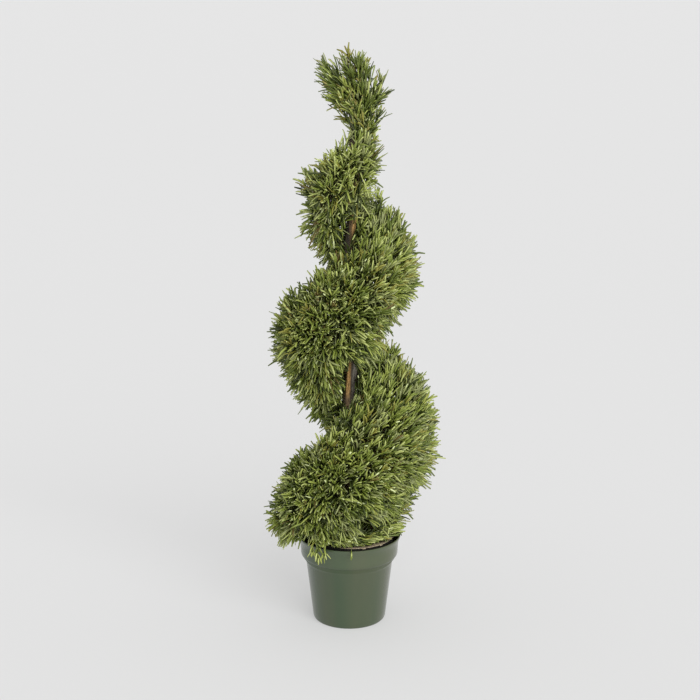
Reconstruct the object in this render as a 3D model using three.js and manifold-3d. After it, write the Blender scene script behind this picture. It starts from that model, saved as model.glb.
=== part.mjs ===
// Artificial spiral topiary in a round pot.
// One garland of clipped foliage winds up a gently corkscrewing trunk to a flame-shaped tip.
// Millimetres, +Z up, origin at the centre of the pot's flat underside.

import * as THREE from 'three';
import { mergeVertices } from 'three/addons/utils/BufferGeometryUtils.js';
import Module from 'manifold-3d';

const wasm = await Module();
wasm.setup();

// ---------- driving dimensions ----------

const gap = 0.3; // clearance between pieces that touch

const pot = {
  sides: 48,
  wall: 2.2,
  floor: 3,
  // outer outline, radius and height, from the foot up to the lip
  outline: [
    [74.5, 0],
    [77, 1.2],
    [78.3, 4.5],
    [92.8, 128],
    [93.9, 131],
    [103.4, 145.6],
    [104.4, 149],
    [105.4, 170],
    [107, 178],
    [109.8, 184.5],
    [110.6, 188.6],
    [110, 189.5],
  ],
};

const plug = { topRadius: 95, footRadius: 68, top: 187, rounding: 4, shiftX: 4, sides: 40 };

const trunk = {
  sides: 16,
  rings: 26,
  foot: plug.top + gap,
  top: 1203,
  swing: 5, // how far the corkscrew leaves the straight line
  pitch: 318, // height of one turn of the corkscrew
  phaseHeight: 524,
  offsetX: 4,
  // height, radius
  taper: [
    [187, 17.5],
    [205, 15.2],
    [260, 14.2],
    [524, 13],
    [842, 11.5],
    [1000, 7.5],
    [1100, 4.2],
    [1203, 1.6],
  ],
};

// The garland: angle round the trunk in degrees (0 is +X, 90 is +Y), height of the strand's
// core, its distance from the axis, and the strand's radius.
const garland = [
  [-112, 201, 72, 5],
  [-100, 203, 70, 10],
  [-72, 209, 68, 18],
  [-45, 216, 66, 29],
  [0, 230, 62, 56],
  [45, 242, 62, 78],
  [90, 252, 62, 92],
  [180, 268, 64, 104],
  [270, 345, 60, 116],
  [360, 430, 62, 119],
  [450, 520, 60, 114],
  [540, 612, 56, 105],
  [630, 698, 53, 101],
  [720, 775, 48, 97],
  [810, 842, 40, 83],
  [900, 905, 34, 70],
  [990, 972, 30, 56],
  [1035, 1016, 30, 47],
  [1080, 1066, 32, 42],
  [1125, 1102, 27, 39],
];

const fringe = 4; // the sprigs stand out this much all round
const outerFringe = 4; // and this much more on the outer side
const stepAngle = 10; // one section of the garland every so many degrees
const arcPoints = 12; // points on the round side of a section
const chordPoints = 3; // points on its flat side, along the trunk
const axisDistance = 3; // where a section stops on its way to the axis
const unevenness = 0.024; // each wave of the surface, as a share of the strand's radius
const neighbours = [-52, -39, -26, -13, 0, 13, 26, 39, 52]; // stretch of the core that fills a section

// Lobes that hang or are clipped short: angle round the trunk, angle round the strand, how far
// each reaches along these two, and its height.
const lobes = [
  [200, -42, 42, 30, 17],
  [192, 45, 46, 34, -15],
  [330, 70, 30, 30, -6],
  [560, 20, 35, 40, 4],
];

// One mass of foliage for each quarter turn.
const masses = [
  ['foliage_low_front', -112, -45],
  ['foliage_turn1_right', -45, 45],
  ['foliage_turn1_back', 45, 135],
  ['foliage_turn1_left', 135, 225],
  ['foliage_turn1_front', 225, 315],
  ['foliage_turn2_right', 315, 405],
  ['foliage_turn2_back', 405, 495],
  ['foliage_turn2_left', 495, 585],
  ['foliage_turn2_front', 585, 675],
  ['foliage_turn3_right', 675, 765],
  ['foliage_turn3_back', 765, 855],
  ['foliage_turn3_left', 855, 945],
  ['foliage_turn3_front', 945, 1035],
  ['foliage_turn4_right', 1035, 1125],
];

// The flame-shaped tip: height, centre x, centre y, radius.
const flame = [
  [1072, -2, 0, 14],
  [1086, -3, 0, 30],
  [1108, 0, 0, 44],
  [1130, 1, 0, 56],
  [1150, -1, 0, 61],
  [1168, -4, -1, 54],
  [1188, -6, -2, 37],
  [1205, -5, -2, 20],
  [1220, -4, -2, 6],
];
const flameSides = 20;
const flameLobes = 0.1;

// ---------- helpers ----------

// A repeatable stream of numbers from 0 to 1.
function seededNumbers(seed) {
  let state = seed;
  return () => {
    state = (state * 16807) % 2147483647;
    return state / 2147483647;
  };
}

// Smooth value of one column of a table at a given key in its first column.
function tableValue(table, key, column) {
  const last = table.length - 1;
  if (key <= table[0][0]) return table[0][column];
  if (key >= table[last][0]) return table[last][column];
  let row = 0;
  while (table[row + 1][0] < key) row += 1;
  const slopeAt = (i) => {
    const before = table[Math.max(i - 1, 0)];
    const after = table[Math.min(i + 1, last)];
    return (after[column] - before[column]) / (after[0] - before[0]);
  };
  const width = table[row + 1][0] - table[row][0];
  const u = (key - table[row][0]) / width;
  const start = table[row][column];
  const end = table[row + 1][column];
  const startSlope = slopeAt(row) * width;
  const endSlope = slopeAt(row + 1) * width;
  return (
    start * (2 * u ** 3 - 3 * u ** 2 + 1) +
    startSlope * (u ** 3 - 2 * u ** 2 + u) +
    end * (3 * u ** 2 - 2 * u ** 3) +
    endSlope * (u ** 3 - u ** 2)
  );
}

// Closed body through a row of rings that all have the same number of points.
function skin(rings) {
  const count = rings[0].length;
  const positions = [];
  const faces = [];
  rings.forEach((ring) => ring.forEach((p) => positions.push(p.x, p.y, p.z)));
  for (let i = 0; i < rings.length - 1; i += 1) {
    for (let j = 0; j < count; j += 1) {
      const k = (j + 1) % count;
      const a = i * count + j;
      const b = i * count + k;
      const c = (i + 1) * count + k;
      const d = (i + 1) * count + j;
      faces.push(a, b, c, a, c, d);
    }
  }
  const closeEnd = (ring, first, forward) => {
    const middle = new THREE.Vector3();
    ring.forEach((p) => middle.addScaledVector(p, 1 / count));
    const centre = positions.length / 3;
    positions.push(middle.x, middle.y, middle.z);
    for (let j = 0; j < count; j += 1) {
      const k = (j + 1) % count;
      if (forward) faces.push(centre, first + j, first + k);
      else faces.push(centre, first + k, first + j);
    }
  };
  closeEnd(rings[0], 0, false);
  closeEnd(rings[rings.length - 1], (rings.length - 1) * count, true);
  const geometry = new THREE.BufferGeometry();
  geometry.setAttribute('position', new THREE.Float32BufferAttribute(positions, 3));
  geometry.setIndex(faces);
  return outward(geometry);
}

// The same body with its faces turned outwards.
function outward(geometry) {
  const p = geometry.attributes.position;
  const index = geometry.index.array;
  const a = new THREE.Vector3();
  const b = new THREE.Vector3();
  const c = new THREE.Vector3();
  let volume = 0;
  for (let i = 0; i < index.length; i += 3) {
    a.fromBufferAttribute(p, index[i]);
    b.fromBufferAttribute(p, index[i + 1]);
    c.fromBufferAttribute(p, index[i + 2]);
    volume += a.dot(b.cross(c));
  }
  if (volume < 0) {
    for (let i = 0; i < index.length; i += 3) {
      const first = index[i];
      index[i] = index[i + 1];
      index[i + 1] = first;
    }
  }
  return geometry;
}

// Body turned round the Z axis from an outline of radii and heights.
function turned(outline, sides) {
  const points = outline.map(([radius, height]) => new THREE.Vector2(radius, height));
  const geometry = new THREE.LatheGeometry(points, sides);
  geometry.rotateX(Math.PI / 2);
  return mergedBody(geometry);
}

function mergedBody(geometry) {
  geometry.deleteAttribute('normal');
  geometry.deleteAttribute('uv');
  const whole = mergeVertices(geometry, 1e-4);
  const index = whole.index.array;
  const kept = [];
  for (let i = 0; i < index.length; i += 3) {
    const [a, b, c] = [index[i], index[i + 1], index[i + 2]];
    if (a !== b && b !== c && a !== c) kept.push(a, b, c);
  }
  whole.setIndex(kept);
  return outward(whole);
}

function toSolid(geometry) {
  return new wasm.Manifold(
    new wasm.Mesh({
      numProp: 3,
      vertProperties: new Float32Array(geometry.attributes.position.array),
      triVerts: new Uint32Array(geometry.index.array),
    }),
  );
}

function toGeometry(solid) {
  const mesh = solid.getMesh();
  const geometry = new THREE.BufferGeometry();
  geometry.setAttribute('position', new THREE.BufferAttribute(mesh.vertProperties, 3));
  geometry.setIndex(new THREE.BufferAttribute(mesh.triVerts, 1));
  return geometry;
}

function cutAway(geometry, tools) {
  let solid = toSolid(geometry);
  tools.forEach((tool) => {
    solid = solid.subtract(toSolid(tool));
  });
  return toGeometry(solid);
}

// ---------- pot and plug ----------

function potGeometry() {
  const rows = pot.outline;
  const rim = rows[rows.length - 1];
  const inside = [rows[8], rows[6], rows[5], rows[3]].map(([radius, height]) => [
    radius - pot.wall,
    height + 0.6,
  ]);
  const insideFoot = [rows[2][0] - pot.wall - 1.5, pot.floor];
  const insideTop = [rim[0] - pot.wall + 0.4, rim[1] - 0.3];
  return turned([[0, 0], ...rows, insideTop, ...inside, insideFoot, [0, pot.floor]], pot.sides);
}

function plugGeometry() {
  const { topRadius, footRadius, top, rounding, shiftX, sides } = plug;
  const outline = [
    [0, pot.floor + gap],
    [footRadius, pot.floor + gap],
    [topRadius, top - rounding],
    [topRadius - rounding * 0.3, top - rounding * 0.3],
    [topRadius - rounding, top],
    [0, top],
  ];
  const geometry = turned(outline, sides);
  const p = geometry.attributes.position;
  for (let i = 0; i < p.count; i += 1) {
    p.setX(i, p.getX(i) + (shiftX * p.getZ(i)) / top);
  }
  return geometry;
}

// ---------- trunk ----------

function trunkCentre(height) {
  const turn = (2 * Math.PI * (height - trunk.phaseHeight)) / trunk.pitch;
  const fade = THREE.MathUtils.clamp((trunk.top - height) / 200, 0, 1);
  const x = (trunk.offsetX + trunk.swing * Math.sin(turn)) * fade;
  const y = trunk.swing * Math.cos(turn) * fade;
  return new THREE.Vector2(x - 4 * (1 - fade), y);
}

function trunkRing(height, level, grow) {
  const centre = trunkCentre(height);
  const radius = tableValue(trunk.taper, height, 1);
  const ring = [];
  for (let j = 0; j < trunk.sides; j += 1) {
    const angle = (2 * Math.PI * j) / trunk.sides;
    const here = radius * (1 + 0.035 * Math.sin(3 * angle + height / 45)) + grow;
    const x = centre.x + here * Math.cos(angle);
    const y = centre.y + here * Math.sin(angle);
    ring.push(new THREE.Vector3(x, y, level));
  }
  return ring;
}

// The trunk's body. The room that is cut for it is grown outwards and runs on past both ends.
function trunkGeometry(grow, runOn) {
  const rings = [];
  for (let i = 0; i <= trunk.rings; i += 1) {
    const height = THREE.MathUtils.lerp(trunk.foot, trunk.top, (i / trunk.rings) ** 0.96);
    rings.push(trunkRing(height, height, grow));
  }
  if (runOn > 0) {
    rings.unshift(trunkRing(trunk.foot, trunk.foot - runOn, grow));
    rings.push(trunkRing(trunk.top, trunk.top + runOn, grow));
  }
  return skin(rings);
}

// ---------- foliage ----------

const random = seededNumbers(4021);
const waves = [];
for (let i = 0; i < 9; i += 1) {
  waves.push({
    along: 0.02 + 0.14 * random(),
    across: 1 + Math.floor(random() * 4),
    phase: 2 * Math.PI * random(),
    twist: 2 * Math.PI * random(),
  });
}

// Swelling of the surface at an angle round the trunk and an angle round the strand.
function swelling(turnAngle, sectionAngle, radius) {
  let sum = 0;
  waves.forEach((wave) => {
    const along = Math.sin(wave.along * turnAngle + wave.phase);
    sum += unevenness * radius * along * Math.sin(wave.across * sectionAngle + wave.twist);
  });
  lobes.forEach(([turn, section, turnReach, sectionReach, height]) => {
    const alongShare = (turnAngle - turn) / turnReach;
    const acrossShare = (THREE.MathUtils.radToDeg(sectionAngle) - section) / sectionReach;
    sum += height * Math.exp(-(alongShare ** 2) - acrossShare ** 2);
  });
  return sum;
}

function corePoint(turnAngle) {
  const distance = tableValue(garland, turnAngle, 2);
  const way = THREE.MathUtils.degToRad(turnAngle);
  return new THREE.Vector3(
    distance * Math.cos(way),
    distance * Math.sin(way),
    tableValue(garland, turnAngle, 1),
  );
}

// How far the round strand reaches from its core in one direction of a vertical half plane.
function strandReach(turnAngle, sectionAngle) {
  const core = corePoint(turnAngle);
  const way = THREE.MathUtils.degToRad(turnAngle);
  const direction = new THREE.Vector3(
    Math.cos(way) * Math.cos(sectionAngle),
    Math.sin(way) * Math.cos(sectionAngle),
    Math.sin(sectionAngle),
  );
  let reach = 0;
  neighbours.forEach((offset) => {
    const there = THREE.MathUtils.clamp(turnAngle + offset, garland[0][0], garland.at(-1)[0]);
    const radius = tableValue(garland, there, 3);
    const away = corePoint(there).sub(core);
    const along = away.dot(direction);
    const square = along ** 2 - away.lengthSq() + radius ** 2;
    if (square > 0) reach = Math.max(reach, along + Math.sqrt(square));
  });
  const radius = tableValue(garland, turnAngle, 3);
  const slim = Math.min(1, radius / 50);
  const stand = (fringe + outerFringe * Math.max(0, Math.cos(sectionAngle))) * slim;
  return reach + swelling(turnAngle, sectionAngle, radius) + stand;
}

// D-shaped section of the garland in the half plane at one angle round the trunk.
function strandSection(turnAngle, grow, shift) {
  const height = tableValue(garland, turnAngle, 1);
  const distance = tableValue(garland, turnAngle, 2);
  const way = THREE.MathUtils.degToRad(turnAngle);
  const innermost = axisDistance - grow;
  const pointAt = (angle) => {
    const reach = strandReach(turnAngle, angle) + grow;
    return [distance + reach * Math.cos(angle), height + reach * Math.sin(angle)];
  };
  // the angle at which the outline meets the trunk's side, above or below the core
  const widestAngle = (side) => {
    let low = Math.PI / 2;
    let high = 0.93 * Math.PI;
    for (let i = 0; i < 24; i += 1) {
      const middle = (low + high) / 2;
      if (pointAt(side * middle)[0] > innermost) low = middle;
      else high = middle;
    }
    return side * low;
  };
  const foot = widestAngle(-1);
  const top = widestAngle(1);
  const outline = [];
  for (let i = 0; i < arcPoints; i += 1) {
    const [r, z] = pointAt(THREE.MathUtils.lerp(foot, top, i / (arcPoints - 1)));
    outline.push([Math.max(r, innermost), z]);
  }
  const [footR, footZ] = outline[0];
  const [topR, topZ] = outline[arcPoints - 1];
  for (let i = 1; i <= chordPoints; i += 1) {
    const u = i / (chordPoints + 1);
    outline.push([THREE.MathUtils.lerp(topR, footR, u), THREE.MathUtils.lerp(topZ, footZ, u)]);
  }
  return outline.map(
    ([r, z]) =>
      new THREE.Vector3(
        r * Math.cos(way) - shift * Math.sin(way),
        r * Math.sin(way) + shift * Math.cos(way),
        z,
      ),
  );
}

// One mass of the garland. The room that is cut for it is grown on all sides.
function strandGeometry(from, to, grow) {
  const steps = Math.max(3, Math.round((to - from) / stepAngle));
  const rings = [];
  for (let i = 0; i <= steps; i += 1) {
    let shift = 0;
    if (i === 0) shift = gap / 2;
    if (i === steps) shift = -gap / 2;
    rings.push(strandSection(THREE.MathUtils.lerp(from, to, i / steps), grow, shift));
  }
  if (grow > 0) {
    rings.unshift(strandSection(from, grow, -grow));
    rings.push(strandSection(to, grow, grow));
  }
  return skin(rings);
}

function flameGeometry() {
  const rings = flame.map(([height, x, y, radius]) => {
    const ring = [];
    for (let j = 0; j < flameSides; j += 1) {
      const angle = (2 * Math.PI * j) / flameSides;
      const wide = Math.sin(3 * angle + height / 26);
      const narrow = Math.sin(5 * angle - height / 17);
      const here = radius * (1 + flameLobes * wide + 0.6 * flameLobes * narrow);
      ring.push(new THREE.Vector3(x + here * Math.cos(angle), y + here * Math.sin(angle), height));
    }
    return ring;
  });
  return skin(rings);
}

// ---------- the plant ----------

const group = new THREE.Group();

function addPiece(name, geometry, colour, roughness) {
  const material = new THREE.MeshStandardMaterial({ color: colour, roughness, metalness: 0 });
  const mesh = new THREE.Mesh(geometry, material);
  mesh.name = name;
  group.add(mesh);
}

addPiece('pot', potGeometry(), '#5a6752', 0.42);
addPiece('planting_plug', plugGeometry(), '#94826e', 0.95);
addPiece('trunk', trunkGeometry(0, 0), '#85623f', 0.8);

const roomForTrunk = trunkGeometry(gap, 40);
const rimRadius = Math.max(...pot.outline.map((row) => row[0]));
const rimTop = pot.outline[pot.outline.length - 1][1];
const roomForPot = turned(
  [
    [0, 0],
    [rimRadius + gap + 1, 0],
    [rimRadius + gap + 1, rimTop + gap],
    [0, rimTop + gap],
  ],
  pot.sides,
);

const greens = ['#586c30', '#627636', '#51642d', '#5c7033'];
const roomForMass = ([, from, to]) => strandGeometry(from, to, 3 * gap);
masses.forEach(([name, from, to], i) => {
  const tools = [roomForTrunk];
  if (i < 5) tools.push(roomForPot);
  // the lowest masses are cut where the turn above them comes down on them
  if (i < 3) tools.push(...masses.slice(i + 3, i + 6).map(roomForMass));
  addPiece(name, cutAway(strandGeometry(from, to, 0), tools), greens[i % greens.length], 0.6);
});

const roomForStrands = masses.slice(-2).map(roomForMass);
addPiece('foliage_tip', cutAway(flameGeometry(), [roomForTrunk, ...roomForStrands]), '#63783a', 0.6);

export default group;
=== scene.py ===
import math
import bpy
import numpy as np
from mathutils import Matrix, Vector


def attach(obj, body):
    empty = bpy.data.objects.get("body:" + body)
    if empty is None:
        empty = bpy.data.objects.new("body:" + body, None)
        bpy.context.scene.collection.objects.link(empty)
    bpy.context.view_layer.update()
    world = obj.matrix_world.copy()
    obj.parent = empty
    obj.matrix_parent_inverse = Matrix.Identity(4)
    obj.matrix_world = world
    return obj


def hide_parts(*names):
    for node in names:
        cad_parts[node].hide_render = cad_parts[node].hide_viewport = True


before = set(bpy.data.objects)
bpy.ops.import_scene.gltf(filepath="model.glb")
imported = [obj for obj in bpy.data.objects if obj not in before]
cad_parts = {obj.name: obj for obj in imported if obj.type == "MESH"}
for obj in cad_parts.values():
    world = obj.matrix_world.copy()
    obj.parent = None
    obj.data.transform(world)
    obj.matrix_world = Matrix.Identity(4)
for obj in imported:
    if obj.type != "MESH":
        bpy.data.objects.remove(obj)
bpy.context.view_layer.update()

print("frame loaded:", len(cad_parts), "nodes")


def deselectAll():
    if bpy.context.object and bpy.context.object.mode != "OBJECT":
        bpy.ops.object.mode_set(mode="OBJECT")
    bpy.ops.object.select_all(action="DESELECT")


def selectOnly(thing):
    deselectAll()
    bpy.context.view_layer.objects.active = thing
    thing.select_set(True)


def startEditing(thing):
    selectOnly(thing)
    bpy.ops.object.mode_set(mode="EDIT")


def applyModifier(thing, kind, **settings):
    selectOnly(thing)
    modifier = thing.modifiers.new(kind.lower(), kind)
    for key, value in settings.items():
        setattr(modifier, key, value)
    bpy.ops.object.modifier_apply(modifier=modifier.name)


def smoothByAngle(thing, degrees):
    selectOnly(thing)
    bpy.ops.object.shade_smooth_by_angle(angle=math.radians(degrees))


# The circle that a round piece is extruded from, in edit mode and all of it selected.
def startRound(name, sides, radius, centre, height, fill="NOTHING"):
    deselectAll()
    bpy.ops.mesh.primitive_circle_add(
        vertices=sides, radius=radius, location=(*centre, height), fill_type=fill
    )
    piece = bpy.context.object
    piece.name = name
    bpy.ops.object.transform_apply(location=True, rotation=True, scale=True)
    startEditing(piece)
    bpy.ops.mesh.select_mode(type="EDGE")
    bpy.ops.mesh.select_all(action="SELECT")
    return piece


# Extrudes the selected ring up or down to a height and scales it round a centre.
def extrudeRing(height, fromHeight, scale, fromCentre=(0, 0), toCentre=(0, 0)):
    shift = (toCentre[0] - fromCentre[0], toCentre[1] - fromCentre[1], height - fromHeight)
    bpy.ops.mesh.extrude_region_move(TRANSFORM_OT_translate={"value": shift})
    bpy.ops.transform.resize(
        value=(scale, scale, 1),
        center_override=(toCentre[0], toCentre[1], height),
    )


# Extrudes only the outline of the selected faces and keeps that outline selected.
def extrudeOutline(height, fromHeight, scale, fromCentre, toCentre):
    bpy.ops.mesh.region_to_loop()
    extrudeRing(height, fromHeight, scale, fromCentre, toCentre)


# Closes the last ring, turns all faces outwards and leaves edit mode.
def finishRound():
    bpy.ops.mesh.edge_face_add()
    bpy.ops.mesh.select_all(action="SELECT")
    bpy.ops.mesh.normals_make_consistent(inside=False)
    bpy.ops.object.mode_set(mode="OBJECT")


# A shader's colour from the usual steps of 0 to 255.
def linear(red, green, blue):
    return tuple(
        v / 12.92 if v <= 0.04045 else ((v + 0.055) / 1.055) ** 2.4
        for v in (red / 255, green / 255, blue / 255)
    ) + (1,)


def newMaterial(name):
    material = bpy.data.materials.new(name)
    material.use_nodes = True
    tree = material.node_tree
    return material, tree, tree.nodes["Principled BSDF"]


# Sets each input of a node to its value, or links it to another node's output.
def fillInputs(tree, node, inputs):
    for key, source in inputs.items():
        if isinstance(source, bpy.types.NodeSocket):
            tree.links.new(source, node.inputs[key])
        else:
            node.inputs[key].default_value = source


def addNode(tree, kind, inputs=None, **settings):
    node = tree.nodes.new(kind)
    for key, value in settings.items():
        setattr(node, key, value)
    fillInputs(tree, node, inputs or {})
    return node


def objectCoordinates(tree):
    return addNode(tree, "ShaderNodeTexCoord").outputs["Object"]


def stretchedCoordinates(tree, scale=(1, 1, 1)):
    inputs = {"Vector": objectCoordinates(tree), "Scale": scale}
    return addNode(tree, "ShaderNodeMapping", inputs).outputs["Vector"]


def addHeight(tree):
    inputs = {"Vector": objectCoordinates(tree)}
    return addNode(tree, "ShaderNodeSeparateXYZ", inputs).outputs["Z"]


def addNoise(tree, vector, scale, detail=3, roughness=0.5):
    inputs = {"Vector": vector, "Scale": scale, "Detail": detail, "Roughness": roughness}
    return addNode(tree, "ShaderNodeTexNoise", inputs).outputs["Fac"]


def addRamp(tree, value, stops):
    ramp = addNode(tree, "ShaderNodeValToRGB", {"Fac": value})
    elements = ramp.color_ramp.elements
    while len(elements) < len(stops):
        elements.new(0.5)
    for element, (position, colour) in zip(elements, stops):
        element.position = position
        element.color = colour
    return ramp.outputs["Color"]


def addRange(tree, value, low, high, fromLow=0, fromHigh=1):
    ends = {"From Min": fromLow, "From Max": fromHigh, "To Min": low, "To Max": high}
    return addNode(tree, "ShaderNodeMapRange", {"Value": value, **ends}).outputs["Result"]


def addMath(tree, operation, *values):
    node = addNode(tree, "ShaderNodeMath", dict(enumerate(values)), operation=operation)
    return node.outputs["Value"]


def addMix(tree, factor, first, second, blend="MULTIPLY"):
    inputs = {"Factor": factor, 6: first, 7: second}  # 6 and 7 are the two colours
    mix = addNode(tree, "ShaderNodeMix", inputs, data_type="RGBA", blend_type=blend)
    return mix.outputs[2]


def addBump(tree, height, strength, distance):
    inputs = {"Height": height, "Strength": strength, "Distance": distance}
    return addNode(tree, "ShaderNodeBump", inputs).outputs["Normal"]


# A material that wanders from one colour to another. Grain is a noise's scale, detail and
# roughness; relief is a noise with the strength and depth of its bumps.
def mottledMaterial(name, dark, light, grain, inputs, relief=None, ends=(0.35, 0.65)):
    material, tree, shader = newMaterial(name)
    vector = stretchedCoordinates(tree)
    stops = list(zip(ends, (dark, light)))
    fillInputs(tree, shader, {
        "Base Color": addRamp(tree, addNoise(tree, vector, *grain), stops),
        **inputs,
    })
    if relief:
        noise, strength, distance = relief
        normal = addBump(tree, addNoise(tree, vector, *noise), strength, distance)
        fillInputs(tree, shader, {"Normal": normal})
    return material


studio = {
    "cameraPlace": (0, -3.0, 1.336),
    "cameraPitch": 13.87,  # degrees below the horizon
    "lens": 76.0,
    "shiftX": 0.001,
    "clipEnd": 500,
    "floorSize": 800,
    "floorFinish": {
        "Base Color": linear(175, 175, 175),
        "Roughness": 0.9,
        "Specular IOR Level": 0.2,
        "Emission Color": (1, 1, 1, 1),
        "Emission Strength": 0.34,  # lightens the shadows on the floor
    },
    "worldColour": (1, 1, 1, 1),
    "worldStrength": 0.70,
    "keyDirection": (0.37, -0.82, 0.41),  # from the plant towards the light
    "keyWidth": 56,  # degrees of the soft light as the plant sees it
    "keyStrength": 2.27,
}


def buildStudio():
    scene = bpy.context.scene
    scene.view_settings.view_transform = "Standard"
    lensData = bpy.data.cameras.new("camera")
    lensData.sensor_width = 36
    lensData.lens = studio["lens"]
    lensData.shift_x = studio["shiftX"]
    lensData.clip_end = studio["clipEnd"]
    camera = bpy.data.objects.new("camera", lensData)
    camera.location = studio["cameraPlace"]
    camera.rotation_euler = (math.radians(90 - studio["cameraPitch"]), 0, 0)
    scene.collection.objects.link(camera)
    scene.camera = camera

    world = bpy.data.worlds.new("studioWorld")
    world.use_nodes = True
    sky = world.node_tree.nodes["Background"]
    sky.inputs["Color"].default_value = studio["worldColour"]
    sky.inputs["Strength"].default_value = studio["worldStrength"]
    scene.world = world

    lampData = bpy.data.lights.new("softKey", "SUN")
    lampData.angle = math.radians(studio["keyWidth"])
    lampData.energy = studio["keyStrength"]
    lamp = bpy.data.objects.new("softKey", lampData)
    lamp.rotation_euler = Vector(studio["keyDirection"]).to_track_quat("Z", "Y").to_euler()
    scene.collection.objects.link(lamp)

    deselectAll()
    bpy.ops.mesh.primitive_plane_add(size=studio["floorSize"], location=(0, 0, 0))
    floor = bpy.context.object
    floor.name = "floor"
    material, tree, shader = newMaterial("paleFloor")
    fillInputs(tree, shader, studio["floorFinish"])
    floor.data.materials.append(material)
    print("studio ready")


pot = {
    "sides": 128,
    # radius and height of the outside, from the foot up to the lip
    "outline": [
        (0.0745, 0), (0.0762, 0.0004), (0.0772, 0.0016), (0.0783, 0.0045), (0.0800, 0.019),
        (0.0928, 0.128), (0.0933, 0.1298), (0.0943, 0.1322), (0.1026, 0.1448), (0.1037, 0.1466),
        (0.1043, 0.149), (0.1050, 0.163), (0.1055, 0.171), (0.1070, 0.178), (0.1092, 0.1834),
        (0.1101, 0.1856), (0.1106, 0.1882), (0.1105, 0.1892), (0.1098, 0.1895),
    ],
    # the inside, from the lip down
    "inside": [
        (0.1084, 0.1893), (0.1074, 0.1850), (0.1048, 0.1776), (0.1020, 0.1494), (0.0916, 0.1310),
        (0.0905, 0.1286), (0.0780, 0.0190), (0.0750, 0.0046), (0.0738, 0.0030), (0.0400, 0.0030),
        (0.0100, 0.0030),
    ],
    # the shallow recess under the foot: height of each ring, and its size to the one before
    "recess": [(0, 0.94), (0.0016, 0.975), (0.0016, 0.3)],
    "smoothAngle": 32,
    "colour": linear(80, 86, 63),
    "darkColour": linear(62, 80, 55),
    "colourEnds": (0.3, 0.7),
    # height and painted shade of the colour: darker below the collar, darkest along its lower
    # edge
    "paintedShades": [
        (0.128, 0.86), (0.1318, 0.90), (0.1335, 1), (0.1440, 0.96), (0.1452, 0.76),
        (0.1464, 0.70), (0.1476, 0.86), (0.1490, 1),
    ],
    "stretch": (1, 1, 0.15),  # the clouds of colour and gloss are drawn out upwards
    "clouds": (14, 2),
    "patches": (26, 3),
    "grain": (900, 2),
    "grainRelief": (0.06, 0.0004),
    "coatRoughness": 0.12,
    "slope": (0.1310, 0.1455),  # from and to height of the slope under the collar
    # name, roughness, specular level and coat: of the pot, and of that slope
    "finishes": [
        ("satinPotPlastic", (0.20, 0.27), 0.5, 0.2),
        ("dullPotPlastic", (0.42, 0.50), 0.3, 0),
    ],
}


def potMaterial(name, roughness, specular, coat):
    material, tree, shader = newMaterial(name)
    vector = stretchedCoordinates(tree, pot["stretch"])
    stops = list(zip(pot["colourEnds"], (pot["darkColour"], pot["colour"])))
    colour = addRamp(tree, addNoise(tree, vector, *pot["clouds"]), stops)
    # painted shade under the collar, by height, multiplies the colour
    shadeGreys = [(height, (shade, shade, shade, 1)) for height, shade in pot["paintedShades"]]
    fine = addNoise(tree, stretchedCoordinates(tree), *pot["grain"])
    fillInputs(tree, shader, {
        "Base Color": addMix(tree, 1, colour, addRamp(tree, addHeight(tree), shadeGreys)),
        "Roughness": addRange(tree, addNoise(tree, vector, *pot["patches"]), *roughness),
        "Specular IOR Level": specular,
        "Coat Weight": coat,
        "Coat Roughness": pot["coatRoughness"],
        "Normal": addBump(tree, fine, *pot["grainRelief"]),
    })
    return material


def buildPot():
    footRadius, height = pot["outline"][0]
    piece = startRound("pot_body", pot["sides"], footRadius, (0, 0), height)
    radius = footRadius
    for nextRadius, nextHeight in pot["outline"][1:] + pot["inside"]:
        extrudeRing(nextHeight, height, nextRadius / radius)
        radius, height = nextRadius, nextHeight
    bpy.ops.mesh.edge_face_add()  # inner floor's middle
    bpy.ops.mesh.select_all(action="DESELECT")
    bpy.ops.object.mode_set(mode="OBJECT")

    # the underside, from the foot ring
    for edge in piece.data.edges:
        ends = [piece.data.vertices[i].co for i in edge.vertices]
        edge.select = all(abs(p.z) < 1e-6 and p.xy.length < footRadius + 1e-4 for p in ends)
    startEditing(piece)
    height = 0
    for nextHeight, scale in pot["recess"]:
        extrudeRing(nextHeight, height, scale)
        height = nextHeight
    finishRound()
    smoothByAngle(piece, pot["smoothAngle"])

    for finish in pot["finishes"]:
        piece.data.materials.append(potMaterial(*finish))
    low, high = pot["slope"]
    for face in piece.data.polygons:
        outside = face.normal.dot(Vector((face.center.x, face.center.y, 0))) > 0
        face.material_index = int(outside and low < face.center.z < high)
    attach(piece, "root")
    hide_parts("pot")
    print("pot:", len(piece.data.polygons), "faces")


plug = {
    "sides": 160,
    "topRadius": 0.0900,
    "footRadius": 0.0600,
    "top": 0.1868,
    "foot": 0.0035,
    "shift": (0.007, 0.004),  # it stands off centre at its top
    "edge": [(0.0010, 0.0002), (0.0026, 0.0010), (0.0036, 0.0026)],  # rounding: outwards, down
    "innerRadius": 0.006,  # of the first ring round the middle of the top
    "rings": 26,
    "sideRings": (0.96, 0.9, 0.8, 0.6, 0.3, 0),  # shares of the height
    "relief": 0.0016,
    "reliefMiddle": 0.75,
    "grain": 0.011,
    "grainDetail": 3,
    "smoothAngle": 50,
    "colour": linear(212, 198, 168),
    "darkColour": linear(158, 136, 112),
    "colourEnds": (0.35, 0.62),
    "speckle": (260, 4, 0.7),
    "speckleRelief": (0.5, 0.0008),
    "finish": {"Roughness": 0.92, "Specular IOR Level": 0.2},
    # the side is painted nearly black: painted shade in the gap round the plug, mottled
    "sideShadeColour": linear(26, 22, 18),
    "sideDark": 0.5,  # share of that colour in its dark spots
    "sideShadeMottle": (180, 3),
    "sideFinish": {"Roughness": 0.95},
    "topNormal": 0.6,  # faces that look less upwards than this have the side's painted shade
}


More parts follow.
